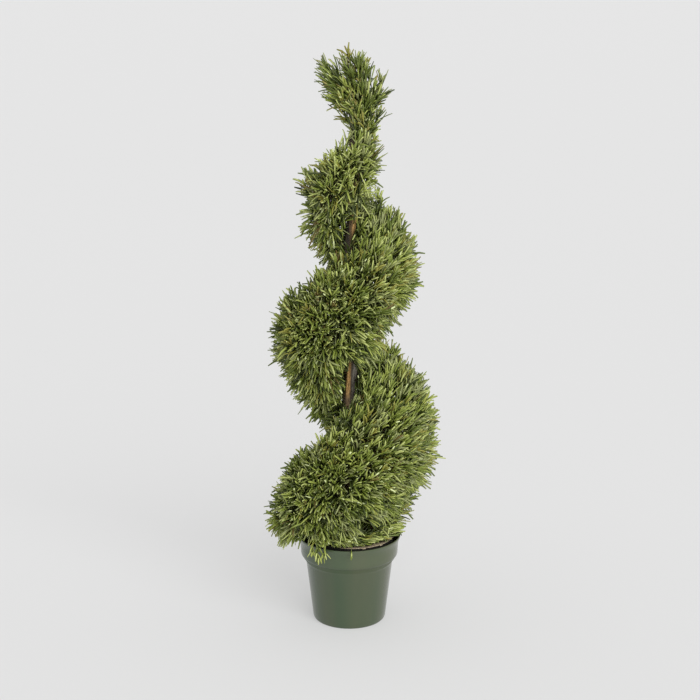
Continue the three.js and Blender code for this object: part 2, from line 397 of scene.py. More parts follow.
def buildPlug():
    centre, top, foot = plug["shift"], plug["top"], plug["foot"]
    radius, height = plug["innerRadius"], top
    piece = startRound("plug_block", plug["sides"], radius, centre, height)
    bpy.ops.mesh.edge_face_add()
    flatRadius = plug["topRadius"] - plug["edge"][-1][0]
    steps = [
        (radius + (flatRadius - radius) * i / plug["rings"], top)
        for i in range(1, plug["rings"] + 1)
    ]
    steps += [(flatRadius + out, top - down) for out, down in plug["edge"]]
    for nextRadius, nextHeight in steps:
        extrudeOutline(nextHeight, height, nextRadius / radius, centre, centre)
        radius, height = nextRadius, nextHeight
    sideHeight = top - plug["edge"][-1][1] - foot
    for share in plug["sideRings"]:
        nextRadius = plug["footRadius"] + (plug["topRadius"] - plug["footRadius"]) * share
        nextHeight = foot + sideHeight * share
        nextCentre = [v * share for v in plug["shift"]]
        extrudeOutline(nextHeight, height, nextRadius / radius, centre, nextCentre)
        radius, height, centre = nextRadius, nextHeight, nextCentre
    finishRound()

    grain = bpy.data.textures.new("plugGrain", "CLOUDS")
    grain.noise_scale = plug["grain"]
    grain.noise_depth = plug["grainDetail"]
    applyModifier(piece, "DISPLACE", texture=grain, texture_coords="GLOBAL",
                  strength=plug["relief"], mid_level=plug["reliefMiddle"])
    smoothByAngle(piece, plug["smoothAngle"])

    piece.data.materials.append(mottledMaterial(
        "plugFoam", plug["darkColour"], plug["colour"], plug["speckle"], plug["finish"],
        (plug["speckle"], *plug["speckleRelief"]), plug["colourEnds"],
    ))
    # the side's painted shade, mottled between darker spots and its colour
    darkerSideShade = [v * plug["sideDark"] for v in plug["sideShadeColour"][:3]] + [1]
    piece.data.materials.append(mottledMaterial(
        "plugSidePaintedShade", darkerSideShade, plug["sideShadeColour"], plug["sideShadeMottle"], plug["sideFinish"]
    ))
    for face in piece.data.polygons:
        face.material_index = int(face.normal.z < plug["topNormal"])
    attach(piece, "root")
    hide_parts("planting_plug")
    print("plug:", len(piece.data.polygons), "faces")


# Smooth value of one column of a table at the given keys of its first column.
def tableValue(table, keys, column):
    rows = np.asarray(table, float)
    key, value = rows[:, 0], rows[:, column]
    slope = np.empty(len(key))
    slope[1:-1] = (value[2:] - value[:-2]) / (key[2:] - key[:-2])
    slope[0] = (value[1] - value[0]) / (key[1] - key[0])
    slope[-1] = (value[-1] - value[-2]) / (key[-1] - key[-2])
    at = np.clip(np.asarray(keys, float), key[0], key[-1])
    row = np.clip(np.searchsorted(key, at, side="right") - 1, 0, len(key) - 2)
    width = key[row + 1] - key[row]
    u = (at - key[row]) / width
    return (
        value[row] * (2 * u**3 - 3 * u**2 + 1)
        + slope[row] * width * (u**3 - 2 * u**2 + u)
        + value[row + 1] * (3 * u**2 - 2 * u**3)
        + slope[row + 1] * width * (u**3 - u**2)
    )


def unit(vectors):
    return vectors / np.maximum(np.linalg.norm(vectors, axis=-1, keepdims=True), 1e-9)


trunk = {
    "sides": 72,
    "foot": 0.1873,
    "top": 1.203,
    "rings": 260,
    "ringPower": 0.98,
    "swing": 0.005,  # how far the corkscrew leaves the straight line
    "pitch": 0.318,
    "phaseHeight": 0.524,
    "offsetX": 0.004,
    "fadeLength": 0.2,  # over this length below its top the corkscrew dies away
    "topX": -0.004,
    "kink": (0.008, 1.06, 0.05),  # near the top: how far to the right, at what height, its reach
    # height, radius
    "taper": [
        (0.187, 0.0175), (0.205, 0.0152), (0.260, 0.0142), (0.524, 0.0130),
        (0.842, 0.0106), (1.000, 0.0075), (1.100, 0.0042), (1.203, 0.0016),
    ],
    "ridges": 13,
    "ridgeDepth": 0.085,  # share of the radius
    "ridgeMiddle": 0.75,
    "ridgeSharpness": 0.6,
    "ridgeWaver": (0.6, 9),
    "ridgeWind": 2.2,  # radians per metre of height
    "ripples": [(3, 21, 0.5), (5, -13, 0.3)],  # how many round, turn with height, share
    "rippleDepth": 0.045,
    "grainSize": 0.006,
    "grainDetail": 2,
    "grainLength": 9,  # times its width
    "grainDepth": 0.0010,
    "smoothAngle": 60,
    "colours": {
        "dark": linear(78, 69, 56),
        "brown": linear(136, 108, 68),
        "tan": linear(238, 188, 118),
        "grey": linear(150, 143, 130),
    },
    # the bark's colours in strips round the pole, by place
    "strips": [
        (0.40, "dark"), (0.45, "brown"), (0.48, "tan"), (0.53, "tan"), (0.56, "brown"),
        (0.61, "dark"), (0.66, "grey"), (0.72, "dark"),
    ],
    "stripWay": (11.54, 0, -0.42),  # they wind slowly round the pole
    "stripEdge": (74, 3, 0.6),
    "stripRange": (0.637, 0.907),
    "weatheredWood": linear(122, 108, 92),
    "greyEvery": 0.318,  # the bare wood turns grey once in every so many metres
    "greyFrom": 0.462,
    "greySine": (0.80, 0.55),  # of that wave, where the grey begins and where it is full
    "greyShare": 0.75,
    # fine and coarse lines up the bark: stretch, noise, shade, where it ends, how strong it is
    "fibre": (0.07, (420, 3, 0.6), (0.55, 0.55, 0.55, 1), (0.3, 0.65), 0.8),
    "strand": (0.14, (460, 2, 0.6), (0.34, 0.34, 0.36, 1), (0.42, 0.54), 0.75),
    "relief": (0.5, 0.0007),
    "roughness": 0.72,
}


def trunkCentre(heights):
    heights = np.asarray(heights, float)
    turn = 2 * np.pi * (heights - trunk["phaseHeight"]) / trunk["pitch"]
    fade = np.clip((trunk["top"] - heights) / trunk["fadeLength"], 0, 1)
    x = (trunk["offsetX"] + trunk["swing"] * np.sin(turn)) * fade + trunk["topX"] * (1 - fade)
    right, kinkHeight, kinkReach = trunk["kink"]
    x = x + right * np.exp(-(((heights - kinkHeight) / kinkReach) ** 2))
    y = trunk["swing"] * np.cos(turn) * fade
    return np.stack([x, y], -1)


def trunkRadius(heights):
    return tableValue(trunk["taper"], heights, 1)


def barkMaterial():
    material, tree, shader = newMaterial("poleBark")
    upwards = stretchedCoordinates(tree, (1, 1, trunk["fibre"][0]))
    edge = addNoise(tree, upwards, *trunk["stripEdge"])
    uneven = addRange(tree, edge, *trunk["stripRange"])
    inputs = {0: objectCoordinates(tree), 1: trunk["stripWay"]}
    side = addNode(tree, "ShaderNodeVectorMath", inputs, operation="DOT_PRODUCT")
    strip = addMath(tree, "ADD", uneven, side.outputs["Value"])
    stops = [(place, trunk["colours"][name]) for place, name in trunk["strips"]]
    colour = addRamp(tree, strip, stops)
    turn = 2 * math.pi / trunk["greyEvery"]
    phase = -2 * math.pi * trunk["greyFrom"] / trunk["greyEvery"]
    wave = addMath(tree, "SINE", addMath(tree, "MULTIPLY_ADD", addHeight(tree), turn, phase))
    greyer = addRange(tree, wave, 0, trunk["greyShare"], *trunk["greySine"])
    colour = addMix(tree, greyer, colour, trunk["weatheredWood"], "MIX")
    for stretch, noise, shade, ends, strength in (trunk["fibre"], trunk["strand"]):
        line = addNoise(tree, stretchedCoordinates(tree, (1, 1, stretch)), *noise)
        lines = addRamp(tree, line, list(zip(ends, (shade, (1, 1, 1, 1)))))
        colour = addMix(tree, strength, colour, lines)
    fillInputs(tree, shader, {
        "Base Color": colour,
        "Roughness": trunk["roughness"],
        "Normal": addBump(tree, addNoise(tree, upwards, *trunk["fibre"][1]), *trunk["relief"]),
    })
    return material


def buildTrunk():
    steps = np.linspace(0, 1, trunk["rings"]) ** trunk["ringPower"]
    heights = trunk["foot"] + (trunk["top"] - trunk["foot"]) * steps
    centres = trunkCentre(heights).tolist()
    radii = trunkRadius(heights).tolist()
    heights = heights.tolist()
    piece = startRound("trunk_pole", trunk["sides"], radii[0], centres[0], heights[0], "NGON")
    for i in range(1, trunk["rings"]):
        scale = radii[i] / radii[i - 1]
        extrudeOutline(heights[i], heights[i - 1], scale, centres[i - 1], centres[i])
    finishRound()

    # fibres that run up the pole and wind a little with it, above its flat cut
    waverSize, waverRate = trunk["ridgeWaver"]
    for vertex in piece.data.vertices:
        height = vertex.co.z
        if height < trunk["foot"] + 1e-4:
            continue
        middle = trunkCentre(height)
        away = np.array([vertex.co.x, vertex.co.y]) - middle
        wind = math.atan2(away[1], away[0]) + trunk["ridgeWind"] * height
        waver = waverSize * math.sin(waverRate * height)
        ridge = abs(math.sin(0.5 * trunk["ridges"] * wind + waver)) ** trunk["ridgeSharpness"]
        broad = sum(
            math.sin(around * wind + turn * height) * share
            for around, turn, share in trunk["ripples"]
        )
        ridge = trunk["ridgeDepth"] * (ridge - trunk["ridgeMiddle"])
        scale = 1 + (ridge + trunk["rippleDepth"] * broad)
        vertex.co.x = middle[0] + away[0] * scale
        vertex.co.y = middle[1] + away[1] * scale
    grain = bpy.data.textures.new("barkGrain", "CLOUDS")
    grain.noise_scale = trunk["grainSize"]
    grain.noise_depth = trunk["grainDetail"]
    grainSpace = bpy.data.objects.new("barkGrainSpace", None)
    grainSpace.scale = (1, 1, trunk["grainLength"])
    bpy.context.scene.collection.objects.link(grainSpace)
    bpy.context.view_layer.update()
    applyModifier(piece, "DISPLACE", texture=grain, texture_coords="OBJECT",
                  texture_coords_object=grainSpace, strength=trunk["grainDepth"], mid_level=0.5)
    bpy.data.objects.remove(grainSpace)
    smoothByAngle(piece, trunk["smoothAngle"])
    piece.data.materials.append(barkMaterial())
    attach(piece, "root")
    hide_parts("trunk")
    print("trunk:", len(piece.data.polygons), "faces")


garland = {
    # angle round the trunk in degrees (0 is +X, 90 is +Y), height of the strand's core, its
    # distance from the axis, and the strand's radius
    "knots": [
        (-112, 0.201, 0.072, 0.005), (-100, 0.203, 0.070, 0.010), (-72, 0.209, 0.068, 0.018),
        (-45, 0.216, 0.066, 0.029), (0, 0.230, 0.062, 0.056), (45, 0.242, 0.062, 0.078),
        (90, 0.252, 0.062, 0.092), (180, 0.268, 0.064, 0.104), (270, 0.345, 0.060, 0.116),
        (360, 0.430, 0.062, 0.119), (450, 0.520, 0.060, 0.114), (540, 0.612, 0.056, 0.105),
        (630, 0.698, 0.053, 0.101), (720, 0.775, 0.048, 0.097), (810, 0.842, 0.040, 0.083),
        (900, 0.905, 0.034, 0.070), (990, 0.972, 0.030, 0.056), (1035, 1.016, 0.030, 0.047),
        (1080, 1.066, 0.032, 0.042), (1125, 1.102, 0.027, 0.039),
    ],
    "fringe": 0.004,
    "outerFringe": 0.002,
    "slimRadius": 0.05,  # thinner than this the strand has less fringe
    "axisDistance": 0.003,
    "meeting": (90, 168, 1.5),  # from, to and step of the angles at which it may meet the axis
    "unevenness": 0.024,
    "neighbours": (-52, -39, -26, -13, 0, 13, 26, 39, 52),
    # angle round the trunk, angle round the strand, reach along each, height
    "lobes": [
        (200, -42, 42, 30, 0.012), (192, 45, 46, 34, -0.015),
        (330, 70, 30, 30, -0.006), (560, 20, 35, 40, 0.004),
        (214, 80, 28, 26, -0.025), (568, 70, 28, 26, -0.018), (560, -52, 30, 24, -0.010),
        (690, -60, 34, 26, -0.020), (22, 32, 34, 26, 0.050), (176, 2, 32, 26, -0.015),
        (884, -32, 32, 28, -0.011), (536, 8, 24, 20, -0.006), (686, -28, 26, 22, -0.009),
        (725, 36, 22, 22, -0.014), (2, -12, 20, 16, -0.010),
        (371, 12, 22, 16, -0.006), (194, -66, 26, 18, 0.012),
        (533, -55, 46, 36, -0.010), (677, -45, 22, 22, -0.015), (755, 70, 32, 28, 0.014),
        (560, 50, 22, 22, 0.012), (893, -30, 32, 28, -0.013), (185, 85, 22, 22, -0.010),
        (8, 10, 46, 36, -0.008), (365, -20, 22, 22, 0.006), (192, 58, 20, 16, 0.013),
        (548, -18, 30, 20, -0.005), (520, -80, 24, 24, -0.008), (880, -70, 26, 24, -0.010),
        (272, 6, 46, 34, -0.008), (408, 60, 34, 30, -0.012), (350, -52, 16, 12, 0.014),
        (90, 0, 50, 40, -0.005), (450, 0, 50, 40, -0.005),
    ],
    "waveSeed": 4021,
    "waves": 9,
    "waveRate": (0.02, 0.14),  # least and how much more, per degree along the strand
    "waveRound": 4,  # at most so many round the strand
    "gridStep": (3.0, 5.0),  # degrees along the strand and round it
}
firstTurn, lastTurn = garland["knots"][0][0], garland["knots"][-1][0]

# the nodes that the strand stands for, from its foot up, and the angle at which each ends
masses = [
    ("foliage_low_front", -45), ("foliage_turn1_right", 45), ("foliage_turn1_back", 135),
    ("foliage_turn1_left", 225), ("foliage_turn1_front", 315), ("foliage_turn2_right", 405),
    ("foliage_turn2_back", 495), ("foliage_turn2_left", 585), ("foliage_turn2_front", 675),
    ("foliage_turn3_right", 765), ("foliage_turn3_back", 855), ("foliage_turn3_left", 945),
    ("foliage_turn3_front", 1035), ("foliage_turn4_right", 1125),
]
massNodes = [name for name, _ in masses] + ["foliage_tip"]
tipIndex = len(masses)


# Slow waves over the strand, from the same plain number series as the simple solids.
def surfaceWaves():
    state, largest = garland["waveSeed"], 2147483647
    least, more = garland["waveRate"]
    waves = []
    for _ in range(garland["waves"]):
        drawn = []
        for _ in range(4):
            state = (state * 16807) % largest
            drawn.append(state / largest)
        waves.append((
            least + more * drawn[0], 1 + math.floor(drawn[1] * garland["waveRound"]),
            2 * math.pi * drawn[2], 2 * math.pi * drawn[3],
        ))
    return waves


def coreHeight(turns):
    return tableValue(garland["knots"], turns, 1)


def coreDistance(turns):
    return tableValue(garland["knots"], turns, 2)


def strandRadius(turns):
    return tableValue(garland["knots"], turns, 3)


def corePoint(turns):
    way = np.radians(turns)
    distance = coreDistance(turns)
    return np.stack([distance * np.cos(way), distance * np.sin(way), coreHeight(turns)], -1)


def sectionWay(turns, sections):
    way = np.radians(turns)
    return np.stack([
        np.cos(way) * np.cos(sections), np.sin(way) * np.cos(sections), np.sin(sections),
    ], -1)


# How far the strand reaches from its core, at angles round the trunk and round the strand.
def strandReach(turns, sections):
    core = corePoint(turns)
    direction = sectionWay(turns, sections)
    reach = np.zeros(turns.shape)
    for offset in garland["neighbours"]:
        there = np.clip(turns + offset, firstTurn, lastTurn)
        radius = strandRadius(there)
        away = corePoint(there) - core
        along = (away * direction).sum(-1)
        square = along**2 - (away**2).sum(-1) + radius**2
        far = along + np.sqrt(np.maximum(square, 0))
        reach = np.where(square > 0, np.maximum(reach, far), reach)
    radius = strandRadius(turns)
    for along, across, phase, twist in surfaceWaves():
        wave = np.sin(along * turns + phase) * np.sin(across * sections + twist)
        reach = reach + garland["unevenness"] * radius * wave
    for turn, section, turnReach, sectionReach, height in garland["lobes"]:
        alongShare = (turns - turn) / turnReach
        acrossShare = (np.degrees(sections) - section) / sectionReach
        reach = reach + height * np.exp(-(alongShare**2) - acrossShare**2)
    slim = np.minimum(1, radius / garland["slimRadius"])
    stand = garland["fringe"] + garland["outerFringe"] * np.maximum(0, np.cos(sections))
    return reach + stand * slim


# The strand's reach on a fine grid, read back by steps between its points.
gridTurns = np.arange(firstTurn, lastTurn + 1, garland["gridStep"][0])
gridSections = np.radians(np.arange(-180, 181, garland["gridStep"][1]))
gridReach = strandReach(*np.meshgrid(gridTurns, gridSections, indexing="ij"))


def reachAt(turns, sections):
    row = (np.clip(turns, gridTurns[0], gridTurns[-1]) - gridTurns[0]) / garland["gridStep"][0]
    column = np.clip(sections, gridSections[0], gridSections[-1]) + np.pi
    column = column / np.radians(garland["gridStep"][1])
    i = np.minimum(np.floor(row).astype(int), len(gridTurns) - 2)
    j = np.minimum(np.floor(column).astype(int), len(gridSections) - 2)
    u, v = row - i, column - j
    return (
        gridReach[i, j] * (1 - u) * (1 - v) + gridReach[i + 1, j] * u * (1 - v)
        + gridReach[i, j + 1] * (1 - u) * v + gridReach[i + 1, j + 1] * u * v
    )


# The angle round the strand at which its outline meets the trunk, above or below the core.
def widestSection(turn, side):
    angles = np.radians(np.arange(*garland["meeting"]))
    reach = reachAt(np.full(len(angles), float(turn)), side * angles)
    out = coreDistance(turn) + reach * np.cos(angles)
    inside = np.nonzero(out < garland["axisDistance"])[0]
    return float(angles[inside[0]]) if len(inside) else float(angles[-1])


def massOfTurns(turns):
    ends = [end for _, end in masses]
    return np.minimum(np.searchsorted(ends, turns, side="right"), len(masses) - 1)


branching = {
    "seed": 52,
    "firstTurn": 6,  # degrees past the strand's foot
    "spacing": 0.0192,  # between neighbouring sprigs where they reach the surface
    "cellSprigs": 2,  # sprigs along each side of one twig's patch of surface
    "patchMargin": (0.1, 0.9),  # where in its own part of a patch a sprig may stand
    "patchTurn": (0.12, 1.1),  # least and most of a patch round the strand, in radians
    "sliver": 0.05,  # what is left of the strand's round is no patch below this
    "leastReach": 0.02,
    "inset": 0.032,  # a stem ends this far inside the surface, and its needles reach on
    "insetSpread": 0.007,
    "insetReach": 0.06,  # a strand with less reach has less inset, down to a least share
    "insetLeast": 0.45,
    "strayShare": 0.09,
    "strayInset": (0.010, 0.022),
    "leanUp": 0.46,
    "leanOn": 1.05,  # towards the rising end of the strand
    "onwardTurn": 4,  # that way is taken from so many degrees before to as many after
    "leanSpread": 0.19,
    "rise": (0.8, 0.75),  # how much leanUp counts at the strand's side, and more on its top
    "riseRange": (0.05, 1.2),
    "steepFrom": 900,  # from this turn on they lean up more steeply
    "steepOver": 110,
    "steepUp": 0.8,
    "boughRise": 0.45,
    "boughArch": 0.12,
    "boughEnd": (0.25, 0.02),  # out and up from the core, as shares of the reach
    "boughWander": 0.003,
    "boughRadius": (0.0030, 0.0016),
    "boughPoints": 9,
    "rootSpread": 0.008,
    "rootDepth": 0.002,  # inside the trunk
    "rootOverPlug": 0.006,
    "twigLift": 0.006,
    "twigWander": 0.004,
    "twigRadius": (0.0014, 0.0009),
    "twigPoints": 6,
    "twigShare": 0.40,  # a twig ends this far from the core to the surface
    "stemRadius": (0.0009, 0.0006),
    "stemPoints": 7,
    "stemArrival": (0.55, 0.4),  # share of a plain and of a bent stem that comes in on its way
    "leafyLength": 0.046,
    "sizeSpread": 0.07,
    "swept": 0.42,  # how much closer the needles lie to their stems on the swept side
    "sweptSteady": 0.4,  # and how much less the stems differ there
    "sweptTurn": 340,
    "sweptScale": 0.08,
    "looseFrom": 750,  # from this turn on the sprigs stand looser and their needles are larger
    "looseOver": 60,
    "looseShare": 0.24,
    "looseScale": 0.12,
    "endTurn": 1010,  # from here on the crest's sprigs take over
    "clearAxis": 0.004,
    "clearTrunk": 0.004,
    "startSpread": 0.002,
    "clearPot": (0.196, 0.118),  # no stem ends both lower and nearer the axis than this
    "clearTurn": (250, 12.0, 0.022),  # from how many degrees on, in what steps, how deep
}

# A gap in the foliage: its foot, its way out, half its width and height, its depth, its lean.
gaps = [
    ((0.0030, 0, 0.524), (-0.002, -1, 0.268), 0.0080, 0.042, 0.20, 0.16),
    ((0.0010, 0, 0.846), (-0.001, -1, 0.161), 0.0064, 0.029, 0.20, 0.10),
    ((0.0354, -0.0466, 0.2226), (-0.011, -0.935, 0.354), 0.0125, 0.0090, 0.145, 0.0),
]


# Points along a Bezier curve through its corners, or along many curves at once.
def bezier(corners, count):
    u = np.linspace(0, 1, count)[:, None]
    last = len(corners) - 1
    return sum(
        math.comb(last, k) * u**k * (1 - u) ** (last - k) * np.asarray(corner)[..., None, :]
        for k, corner in enumerate(corners)
    )


# Stems from each start to each end, arriving on the given ways.
def stemCurves(starts, ends, ways, firsts=None):
    length = np.linalg.norm(ends - starts, axis=1, keepdims=True)
    plain, bent = branching["stemArrival"]
    if firsts is None:
        corners = (starts, ends - ways * plain * length, ends)
    else:
        corners = (starts, firsts, ends - ways * bent * length, ends)
    return bezier(corners, branching["stemPoints"])


# Boughs from the trunk, twigs from the boughs, and each sprig's place on the strand and its twig.
def buildBranches(rng):
    boughs, twigs, sprigs = [], [], []
    turn = firstTurn + branching["firstTurn"]
    cell = branching["cellSprigs"] * branching["spacing"]
    leastPatch, mostPatch = branching["patchTurn"]
    endOut, endUp = branching["boughEnd"]
    while turn < branching["endTurn"]:
        distance = coreDistance(turn)
        step = math.degrees(cell / (distance + reachAt(turn, 0.0)))
        middleTurn = turn + step / 2
        radial = sectionWay(middleTurn, 0.0)
        core = corePoint(middleTurn)

        # the bough leaves the trunk below the core and curves up and out to it
        rootHeight = core[2] - branching["boughRise"] * distance
        rootHeight += rng.uniform(-branching["rootSpread"], branching["rootSpread"])
        rootHeight = max(rootHeight, trunk["foot"] + branching["rootOverPlug"])
        rootReach = trunkRadius(rootHeight) - branching["rootDepth"]
        root = np.array([*trunkCentre(rootHeight), rootHeight]) + radial * rootReach
        reach = reachAt(middleTurn, 0.0)
        end = core + radial * endOut * reach + np.array([0, 0, endUp * reach])
        bend = root + (end - root) * 0.5 + np.array([0, 0, branching["boughArch"] * distance])
        bend += rng.normal(0, branching["boughWander"], 3)
        bough = bezier((root, bend, end), branching["boughPoints"])
        boughs.append(bough)

        section, high = -widestSection(middleTurn, -1), widestSection(middleTurn, 1)
        while section < high - branching["sliver"]:
            reach = max(reachAt(middleTurn, section), branching["leastReach"])
            sectionStep = min(max(cell / reach, leastPatch), mostPatch, high - section)
            middleSection = section + sectionStep / 2
            reach = reachAt(middleTurn, middleSection)
            way = sectionWay(middleTurn, middleSection)
            share = 0.5 + 0.5 * max(0.0, math.cos(middleSection))
            node = bough[int(round(share * (len(bough) - 1)))]
            twigEnd = core + way * reach * branching["twigShare"]
            twigEnd = twigEnd + rng.normal(0, branching["twigWander"], 3)
            lift = node + (twigEnd - node) * 0.5 + radial * branching["twigLift"]
            lift = lift + rng.normal(0, branching["boughWander"], 3)
            twigs.append(bezier((node, lift, twigEnd), branching["twigPoints"]))

            # as many sprigs as this patch of surface has room for
            ringRadius = max(distance + reach * math.cos(middleSection), branching["clearAxis"])
            width = ringRadius * math.radians(step)
            height = reach * sectionStep
            count = int(width * height / branching["spacing"] ** 2 + rng.random())
            across = max(1, int(round(math.sqrt(max(count, 1) * height / max(width, 1e-4)))))
            across = min(across, max(count, 1))
            columns = math.ceil(count / across)
            for k in range(count):
                column, row = divmod(k, across)
                u = (column + rng.uniform(*branching["patchMargin"])) / columns
                v = (row + rng.uniform(*branching["patchMargin"])) / across
                sprigs.append((turn + step * u, section + sectionStep * v, len(twigs) - 1))
            section += sectionStep
        turn += step
    return boughs, twigs, sprigs


# The stems of the garland's sprigs, the mass that each belongs to, and how its needles stand.
def garlandStems(rng, twigs, sprigs):
    turns, sections, owners = (np.array(column) for column in zip(*sprigs))
    turns = np.clip(turns, firstTurn, lastTurn)
    reach = reachAt(turns, sections)
    core = corePoint(turns)
    way = sectionWay(turns, sections)
    count = len(turns)

    inset = branching["inset"] + rng.normal(0, branching["insetSpread"], count)
    stray = rng.random(count) < branching["strayShare"]
    inset = np.where(stray, rng.uniform(*branching["strayInset"], count), inset)
    inset = inset * np.clip(reach / branching["insetReach"], branching["insetLeast"], 1)
    ends = core + way * np.maximum(reach - inset, branching["clearAxis"])[:, None]

    offset = branching["onwardTurn"]
    before, after = np.maximum(turns - offset, firstTurn), np.minimum(turns + offset, lastTurn)
    onward = unit(corePoint(after) - corePoint(before))
    lean = way + onward * branching["leanOn"]
    level, onTop = branching["rise"]
    rise = np.clip(level + onTop * np.sin(sections), *branching["riseRange"])
    steep = np.clip((turns - branching["steepFrom"]) / branching["steepOver"], 0, 1)
    lean[:, 2] += branching["leanUp"] * rise + branching["steepUp"] * steep
    side = np.clip(np.cos(np.radians(turns - branching["sweptTurn"])), 0, 1)
    steady = 1 - branching["sweptSteady"] * side
    lean += rng.normal(0, branching["leanSpread"], (count, 3)) * steady[:, None]
    lean = unit(lean)

    # none inside the trunk, the pot or the turn above
    middle = trunkCentre(ends[:, 2])
    fromTrunk = np.hypot(ends[:, 0] - middle[:, 0], ends[:, 1] - middle[:, 1])
    free = fromTrunk > trunkRadius(ends[:, 2]) + branching["clearTrunk"]
    fromAxis = np.hypot(ends[:, 0], ends[:, 1])
    lowest, nearest = branching["clearPot"]
    free &= (ends[:, 2] > lowest) | (fromAxis > nearest)
    turnsOn, step, depth = branching["clearTurn"]
    for above in np.arange(0, lastTurn, step):
        near = turns < above - turnsOn
        fromCore = np.linalg.norm(ends - corePoint(above), axis=1)
        free &= ~(near & (fromCore < strandRadius(above) - depth))
    loose = np.clip((turns - branching["looseFrom"]) / branching["looseOver"], 0, 1)
    free &= rng.random(count) > branching["looseShare"] * loose
    starts = np.array([twigs[i][-1] for i in owners[free]])
    starts = starts + rng.normal(0, branching["startSpread"], starts.shape)
    stems = stemCurves(starts, ends[free], lean[free])
    side = side[free]
    spread = 1 - branching["swept"] * side
    size = 1 + branching["looseScale"] * loose[free] + branching["sweptScale"] * side
    return stems, massOfTurns(turns[free]), {**branching, "spread": spread, "size": size}


crest = {
    # The crest's outline, where the needles' tips lie: height, centre x, centre y, radius.
    "outline": [
        (0.985, 0.010, -0.004, 0.035), (1.016, 0.021, -0.004, 0.040),
        (1.032, 0.0245, -0.003, 0.041), (1.048, 0.0275, -0.003, 0.042),
        (1.064, 0.0300, -0.002, 0.039), (1.080, 0.0165, 0, 0.061), (1.096, 0.0145, 0, 0.062),
        (1.112, 0.0080, 0, 0.058), (1.128, 0.0050, 0, 0.072), (1.144, 0.0010, 0, 0.067),
        (1.159, -0.0040, 0, 0.064), (1.175, -0.0050, 0, 0.059), (1.191, -0.0060, 0, 0.049),
        (1.207, -0.0060, 0, 0.034), (1.218, -0.0050, 0, 0.014), (1.224, -0.0060, 0, 0.004),
    ],
    # the tips that stand out furthest: x, height
    "leaders": [
        (-0.0056, 1.226), (0.0094, 1.216), (-0.0544, 1.207), (-0.062, 1.197), (0.031, 1.207),
        (0.063, 1.177), (0.080, 1.138), (-0.069, 1.166), (-0.052, 1.116),
        (-0.004, 1.208), (0.022, 1.206), (-0.062, 1.190), (0.066, 1.152), (0.045, 1.188),
    ],
    "sprigs": 122,
    "drawn": 6,  # so many times as many heights, of which those where it is wide are kept
    "angleSpread": 0.2,
    "lobes": (0.07, 3, 40),  # of the outline: height, how many round, turn with height
    "fill": (0.1, 1),  # how far out the tips lie, by share of the area
    "reach": 0.038,  # of the needles beyond a stem's end
    "reachSpread": 0.007,
    "leafyLength": 0.058,
    "spread": 0.66,  # of the needles, as a share of the garland's
    "size": 1.15,
    "width": 0.94,
    "seed": 365,
    "focus": (0.028, 0, 1.040),  # the sprigs point away from here
    "focusRise": (0.055, 0.05),  # it is higher for tips on the left, in full so far out
    "focusBelow": 0.018,  # and at least this far under a tip
    "upright": (1.085, 0.03, 0.037),  # below this height, over this length, it is lower still
    "wander": 0.15,
    "startBelow": (0.06, 0.12),  # how far under its end a stem leaves the trunk
    "startRange": (0.93, 1.08),
    "neckRise": 0.035,
    "neckWidth": 0.35,  # share of a tip's distance from the middle
    "neckRange": (0.985, 1.06),
    "split": 1.088,  # above this height they belong to the tip
}


# Angles that go round evenly by the golden section, each a little off.
def goldenAngles(rng, count, spread):
    return 2 * np.pi * ((np.arange(count) * 0.618034) % 1) + rng.normal(0, spread, count)


# The crest: sprigs that rise from the top of the trunk in one bundle and fan out.
def crestStems(rng):
    outline = np.array(crest["outline"])
    count = crest["sprigs"]
    heights = rng.uniform(outline[0, 0], outline[-1, 0], count * crest["drawn"])
    radii = tableValue(outline, heights, 3)
    heights = heights[rng.random(len(heights)) < radii / outline[:, 3].max()][:count]
    count = len(heights)
    radii = tableValue(outline, heights, 3)
    angles = goldenAngles(rng, count, crest["angleSpread"])
    lobe, lobes, turn = crest["lobes"]
    radii = radii * (1 + lobe * np.sin(lobes * angles + heights * turn))
    radii = radii * np.sqrt(rng.uniform(*crest["fill"], count))
    tips = np.stack([
        tableValue(outline, heights, 1) + radii * np.cos(angles),
        tableValue(outline, heights, 2) + radii * np.sin(angles),
        heights,
    ], 1)
    leaders = np.array(crest["leaders"])
    tips[:len(leaders)] = np.column_stack([leaders[:, 0], 0 * leaders[:, 0], leaders[:, 1]])
    heights[:len(leaders)] = leaders[:, 1]
    rise, inFull = crest["focusRise"]
    leftness = np.clip((tableValue(outline, heights, 1) - tips[:, 0]) / inFull, 0, 1)
    below, over, lower = crest["upright"]
    upright = np.clip((below - heights) / over, 0, 1)
    focus = np.tile(np.array(crest["focus"], float), (count, 1))
    focus[:, 2] += rise * leftness
    highest = heights - crest["focusBelow"] - lower * upright
    focus[:, 2] = np.minimum(focus[:, 2], highest)
    ways = unit(unit(tips - focus) + rng.normal(0, crest["wander"], tips.shape))
    reach = crest["reach"] + rng.normal(0, crest["reachSpread"], count)
    reach[:len(leaders)] = crest["reach"]
    ends = tips - ways * reach[:, None]
    startHeights = ends[:, 2] - rng.uniform(*crest["startBelow"], count)
    startHeights = np.clip(startHeights, *crest["startRange"])
    starts = np.column_stack([trunkCentre(startHeights), startHeights])
    neckHeights = startHeights + crest["neckRise"]
    neckX = tableValue(outline, np.clip(neckHeights, *crest["neckRange"]), 1)
    width = crest["neckWidth"] * radii
    firsts = np.stack([
        neckX + width * np.cos(angles), width * np.sin(angles), neckHeights,
    ], 1)
    stems = stemCurves(starts, ends, ways, firsts)
    return stems, np.where(heights > crest["split"], tipIndex, tipIndex - 1), crest


inner = {
    "from": 0.235,
    "to": 0.985,
    "sprigs": 150,
    "angleSpread": 0.3,
    "foot": (0.006, 0.008),  # from the trunk's middle, of a stem and of the length it reaches
    "length": (0.020, 0.032),
    "rise": (0.35, 1.1),
    "leafyLength": 0.030,
    "size": 0.8,
}


